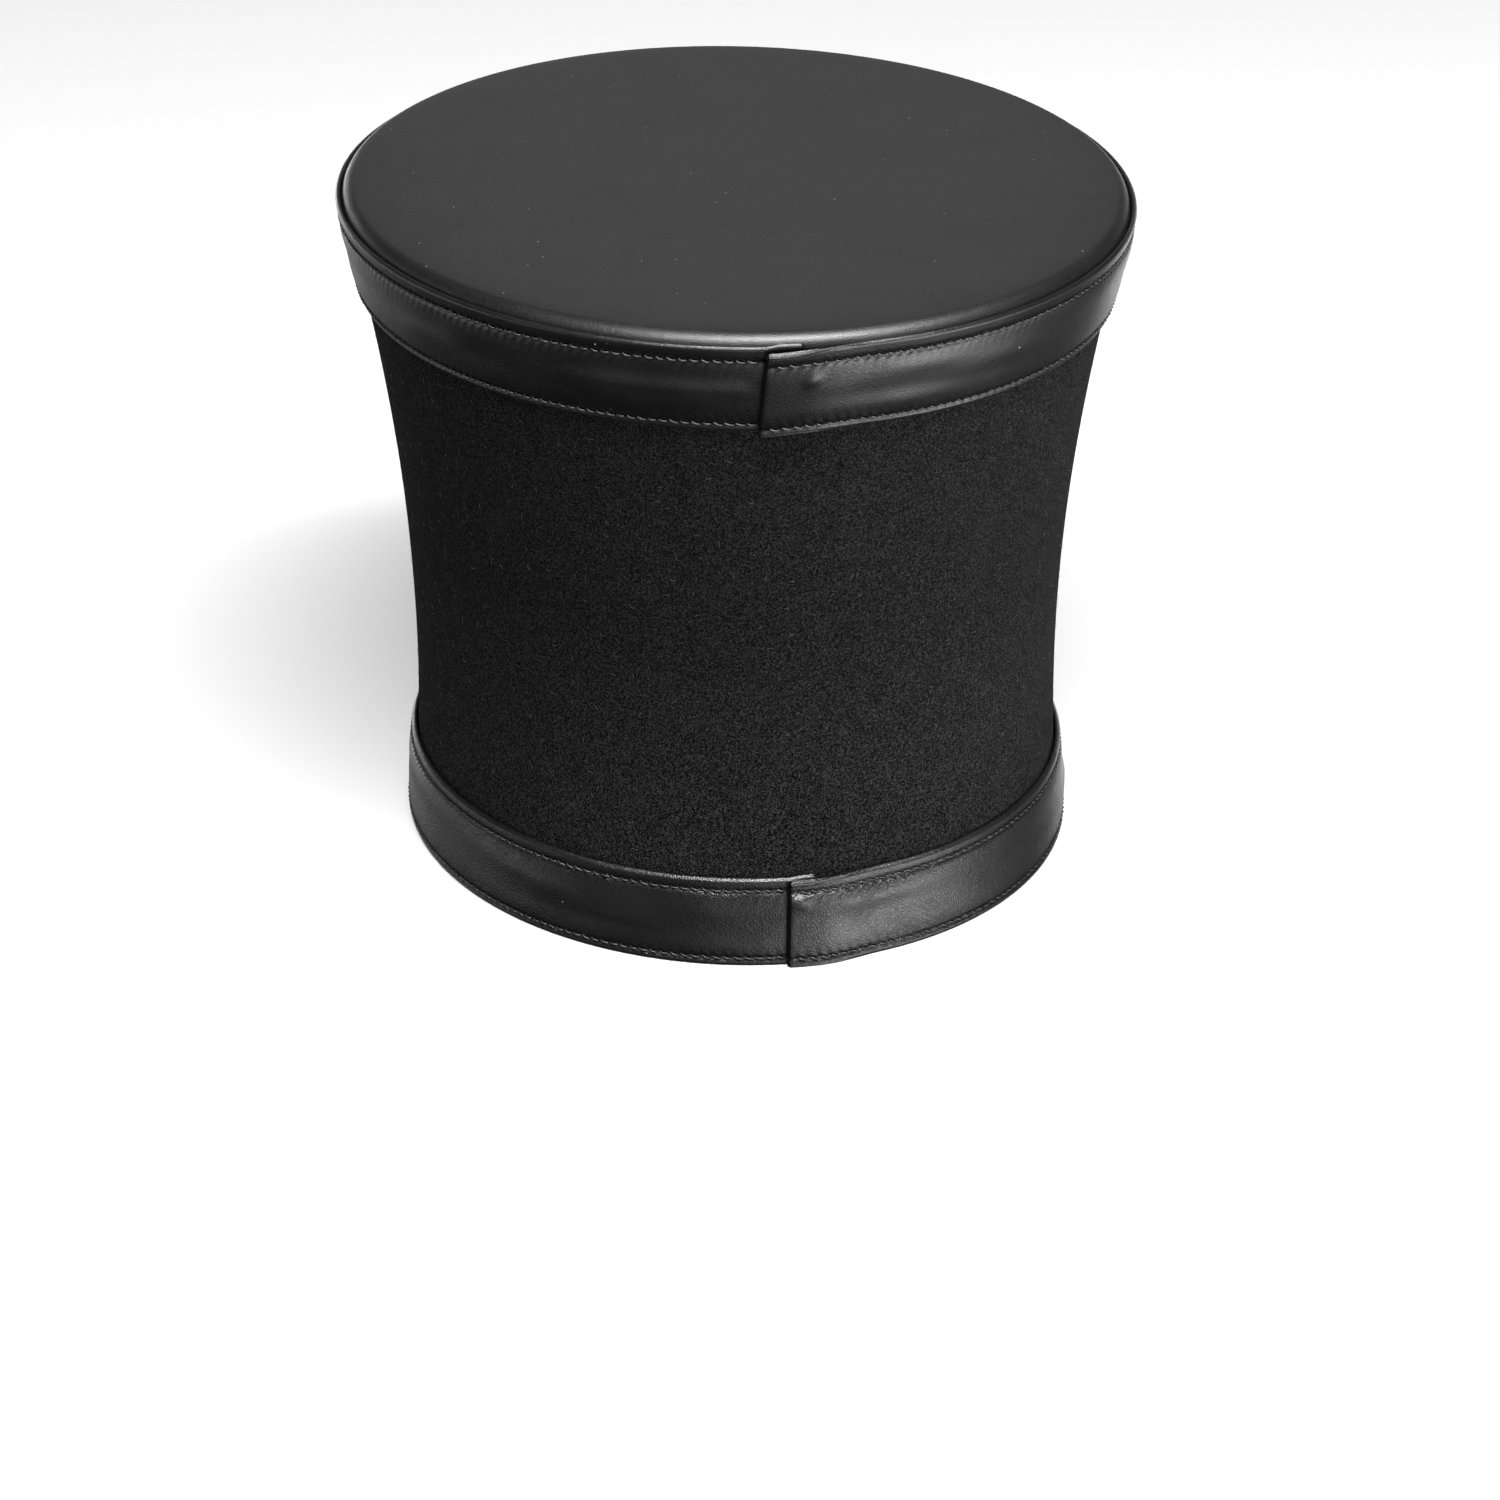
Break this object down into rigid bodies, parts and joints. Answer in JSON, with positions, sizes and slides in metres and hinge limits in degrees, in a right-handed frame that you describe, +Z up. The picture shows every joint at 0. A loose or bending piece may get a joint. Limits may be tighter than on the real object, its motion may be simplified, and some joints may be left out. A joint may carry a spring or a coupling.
{
  "type": "shako",
  "caption": "Oval black felt shako that flares upwards, with a domed leather top, lapped and stitched leather bands round the top and the base, and a plain leather peak.",
  "frame": {"origin": "on the surface that the hat stands on, under the middle of its length and width", "axes": "+Z up, +Y towards the back where the band ends lap, -Y the way the peak points, +X the wearer's left"},
  "size_m": [0.2046, 0.2822, 0.175],
  "materials": {
    "felt": "black wool felt, matt, with fine short fibres",
    "leather": "black grained leather, satin"
  },
  "bodies": {
    "root": {"crown": "felt", "crown_top": "leather", "top_band": "leather", "head_band": "leather", "peak": "leather"}
  },
  "joints": []
}
